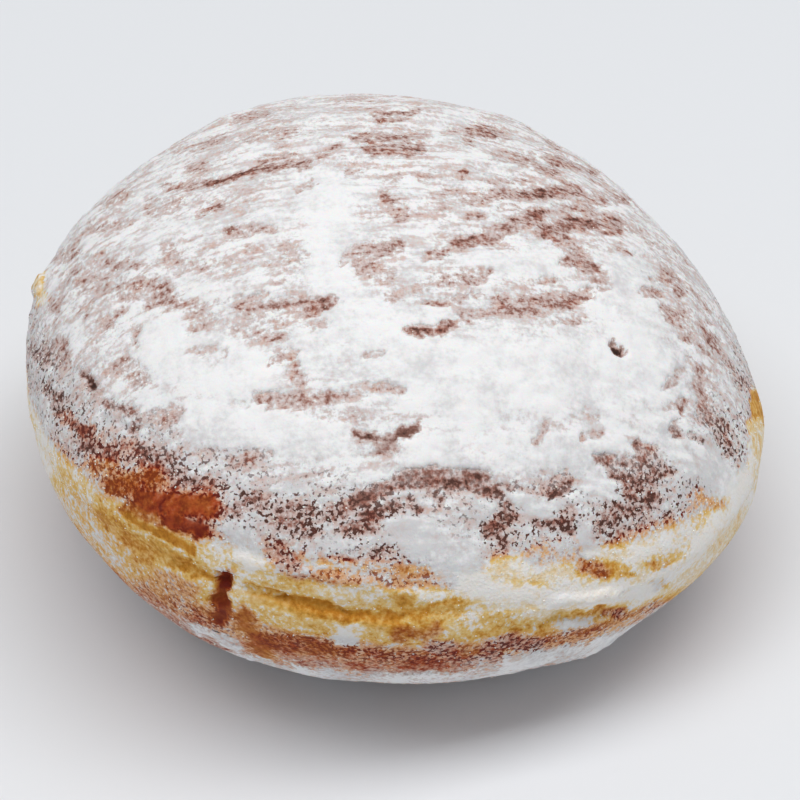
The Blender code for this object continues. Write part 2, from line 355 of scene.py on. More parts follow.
WHITE_PLACES = (
    (234, 528, 254, 560, 13, 0.75), (415, 545, 465, 560, 22, 0.7), (440, 575, 478, 585, 12, 0.7),
    (400, 525, 425, 530, 12, 0.7), (325, 542, 350, 545, 10, 0.6), (595, 480, 610, 492, 10, 0.9),
    (585, 535, 592, 550, 10, 0.8), (690, 455, 735, 485, 16, 0.8), (640, 550, 690, 535, 10, 0.6),
    (520, 505, 535, 515, 10, 0.6), (341, 636, 349, 640, 7, 0.8), (350, 628, 362, 632, 4, 0.5),
    (490, 592, 560, 598, 9, 0.55), (560, 600, 650, 592, 9, 0.65), (640, 592, 700, 556, 8, 0.65),
    (700, 545, 745, 495, 9, 0.6), (560, 585, 620, 586, 7, 0.5), (60, 500, 110, 558, 9, 0.35),
    (640, 575, 735, 490, 20, 0.3), (34, 400, 48, 470, 9, 0.6), (748, 440, 752, 480, 6, 0.5),
    (194, 627, 240, 648, 4, 0.8), (232, 658, 300, 673, 7, 0.8), (300, 674, 400, 683, 7, 0.8),
    (510, 662, 606, 648, 9, 0.8), (400, 681, 540, 674, 6, 0.8), (556, 628, 592, 622, 4, 0.8),
    (600, 648, 700, 598, 9, 0.85), (466, 612, 478, 622, 6, 0.5), (420, 592, 440, 598, 6, 0.5),
    (118, 516, 160, 543, 2, 0.5), (160, 543, 212, 575, 2, 0.5), (234, 583, 282, 598, 2, 0.5),
    (480, 668, 540, 664, 5, 0.6), (470, 588, 545, 606, 15, 0.38), (520, 560, 576, 558, 15, 0.3),
)
DRIFTS = (
    (322, 195, 330, 235, 26, 1.0), (330, 240, 335, 330, 20, 0.9), (375, 330, 470, 400, 34, 1.0),
    (485, 372, 640, 372, 42, 1.0), (165, 345, 250, 385, 30, 0.95), (200, 420, 330, 440, 22, 0.9),
    (622, 275, 645, 325, 20, 0.9), (485, 264, 560, 266, 10, 0.95), (420, 452, 600, 447, 18, 0.9),
    (270, 225, 320, 215, 14, 0.6), (400, 320, 440, 312, 8, 0.8), (600, 300, 620, 330, 14, 0.9),
    (640, 385, 665, 430, 20, 0.7), (60, 460, 90, 480, 6, 0.4), (420, 120, 470, 118, 6, 0.4),
    (150, 222, 200, 220, 10, 0.5), (300, 350, 350, 340, 18, 0.8), (200, 285, 228, 292, 8, 0.6),
)
print(len(FLANK_MARKS), "speckled places,", len(WHITE_PLACES), "white places and", len(DRIFTS), "drifts")

# %% [markdown]
# The crust's colour changes too. On the dome it is red-brown, on the left of the flank it is a
# deep orange where no sugar stuck, and round the waist it is gold. Along the crease a darker gold
# is painted as the shade in its hollow, and there is one scorched spot. Here the last number of a
# mark is the browning, from 0 for raw cream to 1 for nearly black.

# %% Bare and browned places
# bare strokes along the crease go over 1, which darkens the crust there: painted shade in the crease's
# hollow
BARE_CRUST = (
    (96, 468, 112, 471, 9, 0.8), (110, 486, 152, 481, 12, 0.95), (140, 501, 206, 506, 14, 1.15),
    (168, 520, 202, 530, 10, 1.2), (124, 509, 152, 516, 7, 0.95), (129, 520, 192, 551, 7, 1.1),
    (173, 564, 207, 576, 5, 1.0), (249, 585, 282, 598, 5, 1.1), (294, 600, 327, 608, 7, 1.1),
    (325, 613, 402, 618, 5, 1.05), (224, 582, 219, 599, 6, 1.35), (219, 602, 220, 620, 8, 1.3),
    (242, 618, 266, 652, 9, 1.1), (254, 641, 347, 651, 8, 1.0), (398, 636, 436, 628, 8, 0.95),
    (100, 512, 150, 560, 9, 0.85), (400, 600, 421, 620, 9, 0.9), (429, 611, 461, 605, 9, 0.9),
    (429, 646, 451, 650, 6, 0.8), (459, 636, 481, 632, 5, 0.7), (585, 567, 626, 572, 8, 0.9),
    (582, 580, 586, 582, 4, 0.8), (650, 567, 666, 565, 4, 0.9), (654, 587, 667, 583, 4, 0.9),
    (697, 498, 716, 503, 6, 0.65), (703, 509, 709, 510, 6, 0.6), (539, 632, 561, 618, 3, 0.85),
    (560, 618, 601, 612, 3, 0.85), (600, 612, 623, 613, 3, 0.95), (504, 643, 541, 646, 5, 0.9),
    (540, 648, 556, 645, 3, 0.7), (487, 645, 492, 652, 5, 0.7), (574, 636, 601, 628, 5, 0.45),
    (410, 661, 446, 668, 5, 0.65), (454, 665, 501, 662, 5, 0.4), (149, 575, 192, 591, 10, 0.65),
    (139, 600, 181, 620, 6, 0.6), (757, 394, 764, 421, 5, 1.0), (755, 420, 760, 451, 6, 0.55),
    (350, 655, 402, 661, 8, 0.65), (36, 276, 40, 294, 4, 0.8), (618, 347, 622, 350, 3, 1.3),
    (362, 435, 374, 437, 4, 1.1), (383, 447, 392, 441, 4, 1.1), (402, 434, 414, 427, 4, 1.1),
    (86, 376, 89, 384, 3, 1.1), (255, 598, 400, 628, 9, 0.98), (150, 545, 200, 572, 9, 0.95),
)
BROWNING = (
    (96, 468, 112, 471, 12, 0.55), (110, 486, 152, 481, 14, 0.56), (140, 501, 206, 506, 16, 0.6),
    (168, 520, 202, 530, 12, 0.63), (124, 511, 152, 518, 6, 0.48), (224, 580, 219, 599, 8, 0.62),
    (219, 602, 220, 621, 8, 0.58), (240, 616, 266, 654, 11, 0.5), (254, 641, 347, 651, 8, 0.57),
    (398, 636, 436, 628, 8, 0.5), (429, 646, 451, 650, 7, 0.66), (504, 643, 541, 646, 6, 0.68),
    (600, 612, 623, 613, 4, 0.68), (149, 575, 192, 591, 10, 0.5), (410, 661, 446, 668, 6, 0.62),
    (487, 645, 492, 652, 6, 0.66), (454, 665, 501, 662, 6, 0.66), (350, 655, 402, 661, 9, 0.6),
    (318, 576, 446, 580, 8, 0.55), (272, 545, 300, 572, 10, 0.68), (616, 346, 624, 352, 7, 0.97),
    (362, 435, 414, 434, 9, 0.86), (86, 374, 90, 386, 4, 0.9), (60, 415, 130, 455, 12, 0.7),
    (36, 350, 60, 400, 10, 0.8), (72, 508, 135, 562, 18, 0.37),
)
# gold of the pale waist; the strokes along the crease are a darker gold, painted shade in its hollow
GOLD_AND_CREASE_SHADE = (
    (540, 605, 700, 575, 16, 0.06), (700, 565, 748, 490, 16, 0.08), (500, 570, 640, 560, 13, 0.08),
    (129, 521, 192, 551, 7, 0.32), (173, 564, 207, 576, 5, 0.3), (249, 585, 282, 598, 5, 0.3),
    (294, 600, 327, 608, 7, 0.32), (325, 613, 402, 618, 6, 0.34), (400, 600, 421, 620, 9, 0.28),
    (429, 611, 461, 605, 9, 0.28), (605, 572, 626, 573, 8, 0.34), (650, 567, 666, 565, 5, 0.38),
    (654, 587, 667, 583, 5, 0.38), (539, 632, 601, 612, 4, 0.38), (757, 394, 764, 421, 6, 0.3),
    (755, 425, 760, 470, 7, 0.12), (697, 498, 716, 503, 8, 0.48), (36, 272, 40, 298, 7, 0.06),
    (584, 566, 602, 571, 8, 0.56), (484, 590, 548, 610, 13, 0.1), (536, 556, 576, 550, 11, 0.5),
)
print(len(BARE_CRUST), "bare places,", len(BROWNING) + len(GOLD_AND_CREASE_SHADE), "places with a colour of their own")


# %% [markdown]
# ## From marks to fields
#
# A field is one number for each point of the skin. Each mark adds to it near its stroke. The
# pixels are shaken a little by noise first, so that no mark has a smooth outline.

# %% Paint marks onto points
STROKE_REACH = 1.5


def painted(pixels, marks, widen=0.0):
    """For each mark its strength at each pixel, from 0 to 1, and the mark's own amount."""
    for x0, y0, x1, y1, half_width, amount in marks:
        start, along = np.array([x0, y0], float), np.array([x1 - x0, y1 - y0], float)
        share = np.clip((pixels - start) @ along / max(along @ along, 1), 0, 1)
        distance = np.linalg.norm(pixels - start - share[:, None] * along, axis=1)
        yield ease(STROKE_REACH - distance / (half_width + widen)), amount


# how far pixels are pushed at each size of noise, and its shares across and up
WARP_PIXELS = ((4.5, 2.6 * MM), (2.6, 0.9 * MM))
WARP_ACROSS_UP = (1.6, 0.8)
WARP_SEEDS = (40, 50)


def shaken(points, pixels):
    """Pixels pushed about by noise: a lot at the scale of a wrinkle, a little at a grain's."""
    wobble = [sum(far * hills(points, size, seed + n) for n, (far, size) in enumerate(WARP_PIXELS))
              for seed in WARP_SEEDS]
    return pixels + np.stack(wobble, -1) * WARP_ACROSS_UP


WRINKLE_SLANT = radians(8)


def side_to_side(points, length, width, seed):
    """Noise drawn out along the wrinkles, which run from side to side."""
    c, s = np.cos(WRINKLE_SLANT), np.sin(WRINKLE_SLANT)
    x, y, z = points.T
    return rough(np.stack([x * c + y * s, y * c - x * s, z], -1), (length, width, 2 * width), seed)


print("pixels are pushed by noise of", len(WARP_PIXELS), "sizes")

# %% [markdown]
# Five fields are made. "calm" is 1 where the sugar lies in smooth drifts, "bare" says how little
# sugar there is, "brown" how much the crust is fried, with painted shade along the crease,
# "mottle" how much the sugar is broken up into short dashes, and "flank" where the sugar is thin
# and greyed by painted shade of the lower sides. The back, which nobody has seen, gets the same
# kinds of marks from noise alone. Heights are in millimetres above the waist line.

# %% Where sugar drifts, and where the waist wanders
WANDER_MM = 4.0


def drifts(points, normals):
    """1 where sugar lies thick and calm on the dome, 0 elsewhere."""
    pixels = shaken(points, pixels_of(points))
    placed = np.zeros(len(points))
    for strength, amount in painted(pixels, DRIFTS, widen=4):
        placed = np.maximum(placed, strength * amount)
    elsewhere = ease(hills(points, 17 * MM, 71) * 3 + 0.35)
    return blend(elsewhere, placed, facing(points, normals)) * over(above_waist(points), 6, 4)


def wandering_height(points, normals):
    """Height above the waist line, which wanders where the camera can't see it."""
    hidden = 1 - facing(points, normals)
    return above_waist(points) + WANDER_MM * rough(points, 10 * MM, 75) * hidden


print("behind, the waist wanders by", WANDER_MM, "mm")

# %% [markdown]
# Each height has its own noise: streaks on the crown, patches on the flank and the waist, and bare
# crust below. Where the camera sees the dome, the marks take its place.

# %% How bare the crust is
# the marks, by how many pixels their strokes are widened, and the share of their amounts
BARING_MARKS = ((STREAKS, 1.5, 0.92), (FLANK_MARKS, 0.5, 1.10), (BARE_CRUST, 0.5, 1.0))


def bareness_by_noise(points, high):
    """How bare the crust is on the crown, the flank, the waist and the underside in turn."""
    streaks = over(side_to_side(points, 9 * MM, 1.8 * MM, 3), 0.10, 0.4)
    crown = 0.15 + 0.36 * streaks + 0.16 * hills(points, 9 * MM, 9)
    flank = 0.40 + 0.40 * rough(points, 5 * MM, 12)
    waist = 0.50 + 0.40 * rough(points, (8 * MM, 8 * MM, 2.5 * MM), 15)
    underside = 0.70 + 0.55 * rough(points, 4 * MM, 18) - 0.50 * under(points[:, 2] / MM, 10, 5)
    bare = blend(crown, flank, under(high, 11, 6))
    bare = blend(bare, waist, under(high, 5.5, 2))
    return blend(bare, underside, under(high, -4.5, 2))


def bareness_by_marks(points, high, bare):
    """How bare the crust is in front, where the marks are. The waist keeps its noise."""
    pixels = shaken(points, pixels_of(points))
    front = 0.17 + 0.16 * hills(points, 5 * MM, 9)
    front = blend(front, 0.34 + 0.30 * rough(points, 4 * MM, 21), under(high, 10, 4))
    front = blend(front, bare, under(high, 5.0, 2))
    for marks, widen, share in BARING_MARKS:
        for strength, amount in painted(pixels, marks, widen):
            front = np.maximum(front, strength * amount * share)
    for strength, amount in painted(pixels, WHITE_PLACES):
        front = front * (1 - strength * amount)
    return front


def bareness(points, normals, calm):
    """How bare the crust is, from 0 for thick sugar to 1 for none. Behind, the waist has patches
    of sugar."""
    high = wandering_height(points, normals)
    bare = bareness_by_noise(points, high)
    seen = facing(points, normals)
    patches = ease(rough(points, (9 * MM, 9 * MM, 4 * MM), 76) * 3 + 0.4) * under(np.abs(high), 7, 2)
    bare -= 0.20 * patches * (1 - seen)
    bare = blend(bare, bareness_by_marks(points, high, bare), seen)
    keep_streaks = over(bare, 0.28, 0.2)
    return np.clip(bare * (1 - 0.85 * calm * (1 - keep_streaks)), 0, 1.3)


print("marks of", len(BARING_MARKS), "kinds bare the crust")


# %% [markdown]
# On the dome the sugar is mottled except in its drifts. The crust is palest at the waist, browner
# below it and brownest above it.

# %% How mottled and how brown it is
def mottling(points, calm, bare):
    """How much the sugar is broken up into dashes."""
    high = above_waist(points)
    dome = 0.85 * (1 - calm) + 0.10
    mottle = blend(0.35, dome, over(high, 6, 5))
    return np.clip(mottle + 0.5 * over(bare, 0.3, 0.3) * over(high, 8, 4), 0, 1)


def browning(points, normals):
    """How brown the crust is fried, from 0 for raw cream to 1 for nearly black. The crease gets painted
    shade.
    """
    high = wandering_height(points, normals)
    brown = 0.20 + 0.56 * over(high, 4, 3) + 0.33 * under(high, -3.5, 2.5) + 0.14 * under(high, -8, 5)
    brown += (0.12 * rough(points, 4 * MM, 24) + 0.10 * hills(points, 14 * MM, 26)) * under(high, 8, 4)
    pixels = shaken(points, pixels_of(points))
    seen = facing(points, normals)
    # the crease strokes paint shade into the crease as browning
    for strength, amount in painted(pixels, BROWNING + GOLD_AND_CREASE_SHADE, 1):
        brown += (amount - brown) * strength * seen
    return np.clip(brown, 0, 1)


def flankness(points):
    """1 on the flank, where sugar is thin and greyed by painted shade, falling to 0 on the dome and at
    the foot.
    """
    high = above_waist(points)
    return under(high, 16, 6) * (1 - 0.8 * under(high, -8, 3))


def fields_at(points, normals):
    """All the fields by name, for points on the skin."""
    calm = drifts(points, normals)
    bare = bareness(points, normals, calm)
    return {"calm": calm, "bare": bare, "brown": browning(points, normals),
            "mottle": mottling(points, calm, bare), "flank": flankness(points)}


skin_fields = fields_at(skin_points, skin_normals)
print("averages:", {name: round(float(values.mean()), 2) for name, values in skin_fields.items()})


# %% [markdown]
# ## The crust's relief
#
# The frame has the big swellings. The finer wrinkles and blisters are added here by moving each
# point along its normal. The same function is used for the sugar, so that it lies on the crust.
# A few hollows in the waist and the scorched pit are placed one by one, like the marks.

# %% Raise the crust
WRINKLES_MM = 0.5
BLISTERS_MM = 0.12
UNEVEN_MM = 0.08
LOWERED_MM = 0.1
FLAT_FOOT_MM = 2
HOLLOWS = (
    (180, 566, 226, 581, 4, 0.4), (250, 588, 282, 599, 4, 0.4), (282, 600, 345, 612, 4, 0.5),
    (345, 613, 402, 620, 4, 0.4), (515, 633, 560, 618, 4, 0.4), (560, 618, 622, 612, 4, 0.4),
    (224, 584, 219, 598, 5, 0.9), (219, 600, 220, 616, 5, 0.3), (616, 346, 624, 352, 4, 0.4),
    (84, 374, 90, 387, 4, 0.3), (100, 420, 150, 436, 5, 0.3), (36, 278, 38, 291, 4, -0.6),
    (240, 560, 420, 596, 5, -0.3), (560, 600, 610, 597, 5, -0.4),
)


def crust_relief(points, normals):
    """How far the crust stands out from the smooth skin, in metres. It dies out at the foot."""
    high = above_waist(points)
    fried = over(np.abs(high), 4, 4)
    wrinkles = -np.abs(side_to_side(points, 8 * MM, 2.4 * MM, 31)) * over(high, 6, 8)
    relief = WRINKLES_MM * wrinkles + BLISTERS_MM * fried * rough(points, 1.5 * MM, 34)
    relief = relief + UNEVEN_MM * rough(points, 3 * MM, 37) - LOWERED_MM
    pixels = shaken(points, pixels_of(points))
    seen = facing(points, normals)
    for strength, amount in painted(pixels, HOLLOWS, 1):
        relief -= amount * strength * seen
    return relief * MM * ease(points[:, 2] / (FLAT_FOOT_MM * MM))


def move_vertices(mesh, places):
    mesh.vertices.foreach_set("co", np.asarray(places, np.float32).ravel())
    mesh.update()
    mesh.shade_smooth()


def set_fields(mesh, fields):
    """Keeps one number for each vertex and field, for the material to read."""
    for name, values in fields.items():
        mesh.attributes.new(name, "FLOAT", "POINT").data.foreach_set("value", values.astype(np.float32))


skin_corners = [tuple(p.vertices) for p in skin.polygons]
skin_tree = BVHTree.FromPolygons([tuple(p) for p in skin_points], skin_corners)
relief = crust_relief(skin_points, skin_normals)
move_vertices(skin, skin_points + skin_normals * relief[:, None])
set_fields(skin, skin_fields)
crust = link("crust", skin)
print("crust relief up to", round(float(np.abs(relief).max() / MM), 2), "mm")


# %% [markdown]
# ## A map for the surface
#
# The exported model needs its colours laid out flat. A round thing seen from above is nearly a
# disc, and so is its underside, so the map is two discs side by side, cut apart at the waist.

# %% Unwrap in two discs
MAP_NAME = "OFBake"
DISC_RADIUS = 0.24


def unwrap(mesh):
    """Lays the upper and lower halves out as two discs."""
    places, _ = read_mesh(mesh)
    corners = np.zeros(len(mesh.loops), np.int32)
    mesh.loops.foreach_get("vertex_index", corners)
    sizes = np.zeros(len(mesh.polygons), np.int32)
    mesh.polygons.foreach_get("loop_total", sizes)
    face = np.repeat(np.arange(len(sizes)), sizes)
    height = np.bincount(face, places[corners, 2]) / sizes
    upper = (height > WAIST_HEIGHT)[face]
    flat = places[corners, :2]
    radius = np.linalg.norm(flat, axis=1)
    steep = np.arctan2(np.abs(places[corners, 2] - WAIST_HEIGHT), radius)
    reach = (1 - steep / (pi / 2)) * DISC_RADIUS / np.maximum(radius, 1e-9)
    centre = np.where(upper[:, None], (0.25, 0.5), (0.75, 0.5))
    layer = mesh.uv_layers.new(name=MAP_NAME)
    layer.uv.foreach_set("vector", (centre + flat * reach[:, None]).astype(np.float32).ravel())


unwrap(skin)
print("the map is called", MAP_NAME)


# %% [markdown]
# ## Small helpers for materials
#
# A material in Blender is a graph of nodes. These helpers add one node each and wire it up, so
# that a material below reads as a few lines of recipe.

# %% Node helpers
class Recipe:
    """A material's node graph, with short ways to add to it."""

    def __init__(self, name):
        self.material = bpy.data.materials.new(name)
        self.material.use_nodes = True
        self.tree = self.material.node_tree
        self.shader = self.tree.nodes["Principled BSDF"]
        self.place = self.add("ShaderNodeTexCoord").outputs["Object"]

    def add(self, kind, **values):
        node = self.tree.nodes.new(kind)
        for key, value in values.items():
            setattr(node, key, value)
        return node

    def feed(self, socket, value):
        """Wires an output into a socket, or sets the socket to a plain value."""
        if isinstance(value, bpy.types.NodeSocket):
            self.tree.links.new(value, socket)
        else:
            socket.default_value = value

    def field(self, name):
        return self.add("ShaderNodeAttribute", attribute_name=name).outputs["Fac"]

    def noise(self, size, detail=2.0, roughness=0.5, stretch=None):
        """Noise from 0 to 1 whose blobs are about as wide as size, in metres. A stretch gives
        them a width along each axis and turns them along the wrinkles."""
        node = self.add("ShaderNodeTexNoise")
        place = self.place
        if stretch:
            turn = self.add("ShaderNodeMapping", vector_type="TEXTURE")
            self.feed(turn.inputs["Vector"], place)
            turn.inputs["Rotation"].default_value = (0, 0, WRINKLE_SLANT)
            turn.inputs["Scale"].default_value = stretch
            place = turn.outputs["Vector"]
        self.feed(node.inputs["Vector"], place)
        node.inputs["Scale"].default_value = 1 / size
        node.inputs["Detail"].default_value = detail
        node.inputs["Roughness"].default_value = roughness
        return node.outputs["Fac"]

    def math(self, operation, a, b=0.0, clamp=False):
        node = self.add("ShaderNodeMath", operation=operation, use_clamp=clamp)
        self.feed(node.inputs[0], a)
        self.feed(node.inputs[1], b)
        return node.outputs[0]

    def total(self, *terms, clamp=False):
        """Adds up (value, weight) pairs and plain numbers."""
        result = 0.0
        for term in terms:
            if isinstance(term, tuple):
                term = self.math("MULTIPLY", *term)
            result = self.math("ADD", term, result)
        return self.math("ADD", result, 0.0, clamp=clamp)

    def step(self, value, low, high):
        """A smooth step from 0 at low to 1 at high."""
        node = self.add("ShaderNodeMapRange", interpolation_type="SMOOTHSTEP")
        self.feed(node.inputs["Value"], value)
        node.inputs["From Min"].default_value = low
        node.inputs["From Max"].default_value = high
        return node.outputs["Result"]

    def ramp(self, value, stops):
        """A colour for each value, from (place, colour) stops."""
        node = self.add("ShaderNodeValToRGB")
        self.feed(node.inputs[0], value)
        elements = node.color_ramp.elements
        elements.remove(elements[1])
        for n, (at, colour) in enumerate(stops):
            element = elements.new(at) if n else elements[0]
            element.position = at
            element.color = (*colour, 1)
        return node.outputs["Color"]

    def mix(self, share, a, b):
        node = self.add("ShaderNodeMix", data_type="RGBA")
        self.feed(node.inputs["Factor"], share)
        self.feed(node.inputs[6], (*a, 1) if isinstance(a, tuple) else a)
        self.feed(node.inputs[7], (*b, 1) if isinstance(b, tuple) else b)
        return node.outputs[2]

    def bump(self, height, distance, strength=1.0):
        node = self.add("ShaderNodeBump")
        node.inputs["Strength"].default_value = strength
        node.inputs["Distance"].default_value = distance
        self.feed(node.inputs["Height"], height)
        self.feed(self.shader.inputs["Normal"], node.outputs["Normal"])

    def finish(self, colour, roughness, **plain):
        self.feed(self.shader.inputs["Base Color"], colour)
        self.feed(self.shader.inputs["Roughness"], roughness)
        for name, value in plain.items():
            self.shader.inputs[name.replace("_", " ")].default_value = value
        return self.material


print("helpers ready")

# %% [markdown]
# ## The crust's finish
#
# Fried crust goes from cream through gold and orange to red-brown. A ramp over the browning field
# gives that. Dust is white specks finer than any face of the mesh, so it is drawn by the
# material: fine noise is compared with the bareness, and where it wins there is a speck.

# %% Colours of crust and sugar
BROWNINGS = (0.00, 0.18, 0.32, 0.48, 0.62, 0.76, 1.00)
VEILED_COLOURS = (
    (0.80, 0.73, 0.63), (0.79, 0.58, 0.25), (0.76, 0.48, 0.13), (0.74, 0.43, 0.20),
    (0.66, 0.38, 0.25), (0.61, 0.50, 0.475), (0.45, 0.30, 0.26),
)
BARE_COLOURS = (
    (0.80, 0.62, 0.38), (0.70, 0.39, 0.08), (0.56, 0.235, 0.020), (0.50, 0.18, 0.028),
    (0.40, 0.062, 0.010), (0.31, 0.145, 0.112), (0.06, 0.020, 0.012),
)
DEEP_COLOURS = (
    (0.62, 0.38, 0.12), (0.50, 0.26, 0.04), (0.38, 0.14, 0.005), (0.32, 0.07, 0.005),
    (0.15, 0.008, 0.001), (0.09, 0.036, 0.026), (0.02, 0.008, 0.006),
)
SUGAR_COLOUR = (0.84, 0.84, 0.845)
# grey of thin sugar over brown crust; on the flank this grey is also painted shade of the lower sides
THIN_AND_SHADED_SUGAR_COLOUR = (0.65, 0.645, 0.655)
CREAM_SUGAR_COLOUR = (0.84, 0.81, 0.77)


def sugared_crust(recipe):
    """The colour of crust under any amount of sugar, and how exposed the crust is."""
    bare, brown, mottle, flank = (recipe.field(name) for name in ("bare", "brown", "mottle", "flank"))
    dash = recipe.noise(1.0, detail=3, stretch=(5.0 * MM, 1.0 * MM, 1.8 * MM))
    speck = recipe.noise(0.62 * MM, detail=2, roughness=0.6)
    clot = recipe.noise(2.4 * MM, detail=2)
    pore = recipe.noise(0.48 * MM, detail=2)
    blotch = recipe.noise(1.8 * MM, detail=3, roughness=0.6)
    cloud = recipe.noise(5.0 * MM, detail=4, roughness=0.65)

    # specks count most where the sugar is neither thick nor gone
    half_bare = recipe.math("MULTIPLY", bare, recipe.total((bare, -1.8), 2.2))
    give = recipe.math("MAXIMUM", recipe.total(half_bare, 0.12), 0.12)
    dashes = recipe.math("MULTIPLY", recipe.total((dash, 1.7), -0.85), mottle)
    specks = recipe.math("MULTIPLY", recipe.total((speck, 2.6), (clot, 1.0), -1.80), give)
    exposed = recipe.total(bare, dashes, specks)
    toned = recipe.total(brown, (blotch, 0.22), -0.11)
    veiled, plain, deep = (recipe.ramp(toned, zip(BROWNINGS, colours))
                           for colours in (VEILED_COLOURS, BARE_COLOURS, DEEP_COLOURS))
    # bareness and cloud noise grey the thin sugar; the flank term adds grey as painted shade of the
    # lower sides
    thin = recipe.total(exposed, (cloud, 1.3), (flank, 0.24), -0.65)
    dust_and_shade = recipe.mix(recipe.step(brown, 0.15, 0.50), CREAM_SUGAR_COLOUR, THIN_AND_SHADED_SUGAR_COLOUR)
    colour = recipe.mix(recipe.step(thin, -0.10, 0.40), SUGAR_COLOUR, dust_and_shade)
    colour = recipe.mix(recipe.step(exposed, 0.10, 0.56), colour, veiled)
    colour = recipe.mix(recipe.step(exposed, 0.50, 1.05), colour, plain)

    # dark specks show on fried crust only, and mostly on the flank
    fried = recipe.math("MULTIPLY", recipe.step(brown, 0.40, 0.60), recipe.total((flank, 0.85), 0.15))
    dusted = recipe.math("MULTIPLY", recipe.step(bare, 0.05, 0.25), recipe.step(bare, 1.12, 0.98))
    sunken = recipe.step(recipe.total(pore, (bare, 0.13)), 0.60, 0.66)
    pores = recipe.math("MULTIPLY", recipe.math("MULTIPLY", sunken, dusted), fried)
    dark = recipe.total(pores, recipe.step(exposed, 0.95, 1.35), clamp=True)
    return recipe.mix(dark, colour, deep), exposed


print(len(BROWNINGS), "brownings, each under three amounts of sugar")


# %% Crust material
def crust_material():
    recipe = Recipe("fried crust")
    colour, exposed = sugared_crust(recipe)
    grain = recipe.noise(0.35 * MM, detail=2)
    recipe.bump(recipe.total((exposed, -0.6), (grain, 0.7)), 0.16 * MM, 0.9)
    return recipe.finish(colour, 0.75, Subsurface_Weight=0.06, Subsurface_Scale=0.5 * MM,
                         Specular_IOR_Level=0.22)


crust.data.materials.clear()
crust.data.materials.append(crust_material())
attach(crust, "root")
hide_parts("doughnut")
print("crust done,", len(skin.polygons), "faces")


# %% [markdown]
# ## Sheets of sugar
#
# The thick sugar could be painted on, but then it would have no edge. Instead a fine net is laid
# over the dough: rays go out from the middle of the dough and stop at the skin. Each point is
# then raised by the sugar's thickness. Where the crust is bare the thickness is less than nothing
# and the sheet dips below the crust, so its edge is where the two surfaces meet. Faces that are
# deep below are taken away.

# %% Lay a net over the dough
CORE = Vector((0, 0, WAIST_HEIGHT))


def net_directions(cells, lowest, highest):
    """A square net bent round into a cap. Gives a unit direction for each knot of the net."""
    bends = np.linspace(-pi / 4, pi / 4, cells + 1)
    across, along = np.meshgrid(bends, bends, indexing="ij")
    x = np.sqrt(2) * np.sin(across) * np.cos(along)
    y = np.sqrt(2) * np.sin(along) * np.cos(across)
    steep = highest + (lowest - highest) * np.hypot(x, y)
    angle = np.arctan2(y, x)
    flat = np.cos(steep)
    return np.stack([np.cos(angle) * flat, np.sin(angle) * flat, np.sin(steep)], -1).reshape(-1, 3)


def skin_under(directions):
    """Where rays from the core meet the smooth skin."""
    nearest = np.zeros((len(directions), 3))
    for k, direction in enumerate(directions):
        nearest[k] = skin_tree.ray_cast(CORE, Vector(direction))[0]
    return nearest


def net_faces(cells):
    """The four-sided faces of a square net."""
    knot = np.arange((cells + 1) ** 2).reshape(cells + 1, cells + 1)
    return np.stack([knot[:-1, :-1], knot[1:, :-1], knot[1:, 1:], knot[:-1, 1:]], -1).reshape(-1, 4)


def mesh_from(name, places, faces):
    """A mesh of the faces given, without the points that no face uses."""
    used, corners = np.unique(faces, return_inverse=True)
    mesh = bpy.data.meshes.new(name)
    mesh.from_pydata(places[used].tolist(), [], corners.reshape(faces.shape).tolist())
    return mesh, used


print("a net of 40 cells a side has", len(net_faces(40)), "faces")

# %% [markdown]
# The sugar's thickness is about a third of a millimetre in the smooth drifts. It is lumpy, because
# it fell in clots, and it thins out towards the bare places. A few heaps of it are placed one by one.

# %% Make the sugar on the dome and round the foot
EDGE_BARENESS = 0.40
THIN_MM = 0.14
DRIFTED_MM = 0.18
HIDDEN_MM = 0.25
CUT_BELOW_MM = 0.10
DOME_NET = (310, radians(-6), radians(90))
FOOT_NET = (170, radians(-4), radians(-90))
RIDGES = (
    (455, 292, 500, 285, 4, 0.3), (500, 284, 590, 284, 4, 0.4), (592, 286, 604, 300, 5, 0.4),
    (470, 330, 560, 324, 5, 0.2), (480, 246, 552, 240, 4, 0.2), (238, 290, 330, 290, 4, 0.15),
    (262, 386, 350, 386, 4, 0.15), (345, 470, 480, 458, 5, 0.1), (400, 515, 470, 508, 6, 0.15),
    (600, 446, 640, 438, 5, 0.1), (515, 664, 585, 655, 5, 0.2), (200, 634, 238, 648, 4, 0.2),
)


def sugar_thickness(points, fields):
    """How thick the sugar lies, in millimetres. Less than nothing where the crust is bare."""
    ragged = fields["bare"] + 0.14 * hills(points, 1.1 * MM, 61) + 0.10 * hills(points, 0.55 * MM, 62)
    ragged += 0.18 * fields["mottle"] * side_to_side(points, 3 * MM, 0.8 * MM, 63)
    depth = under(ragged, EDGE_BARENESS, 0.5)
    lumps = 0.16 * rough(points, 4.5 * MM, 64) + 0.08 * rough(points, 1.3 * MM, 67)
    lumps += 0.25 * side_to_side(points, 12 * MM, 3 * MM, 68)
    pixels = shaken(points, pixels_of(points))
    for strength, amount in painted(pixels, RIDGES, 1):
        lumps = lumps + strength * amount
    laid = 0.02 + (THIN_MM + DRIFTED_MM * fields["calm"]) * depth + lumps * depth
    return np.where(ragged < EDGE_BARENESS, laid, -0.8 * (ragged - EDGE_BARENESS))


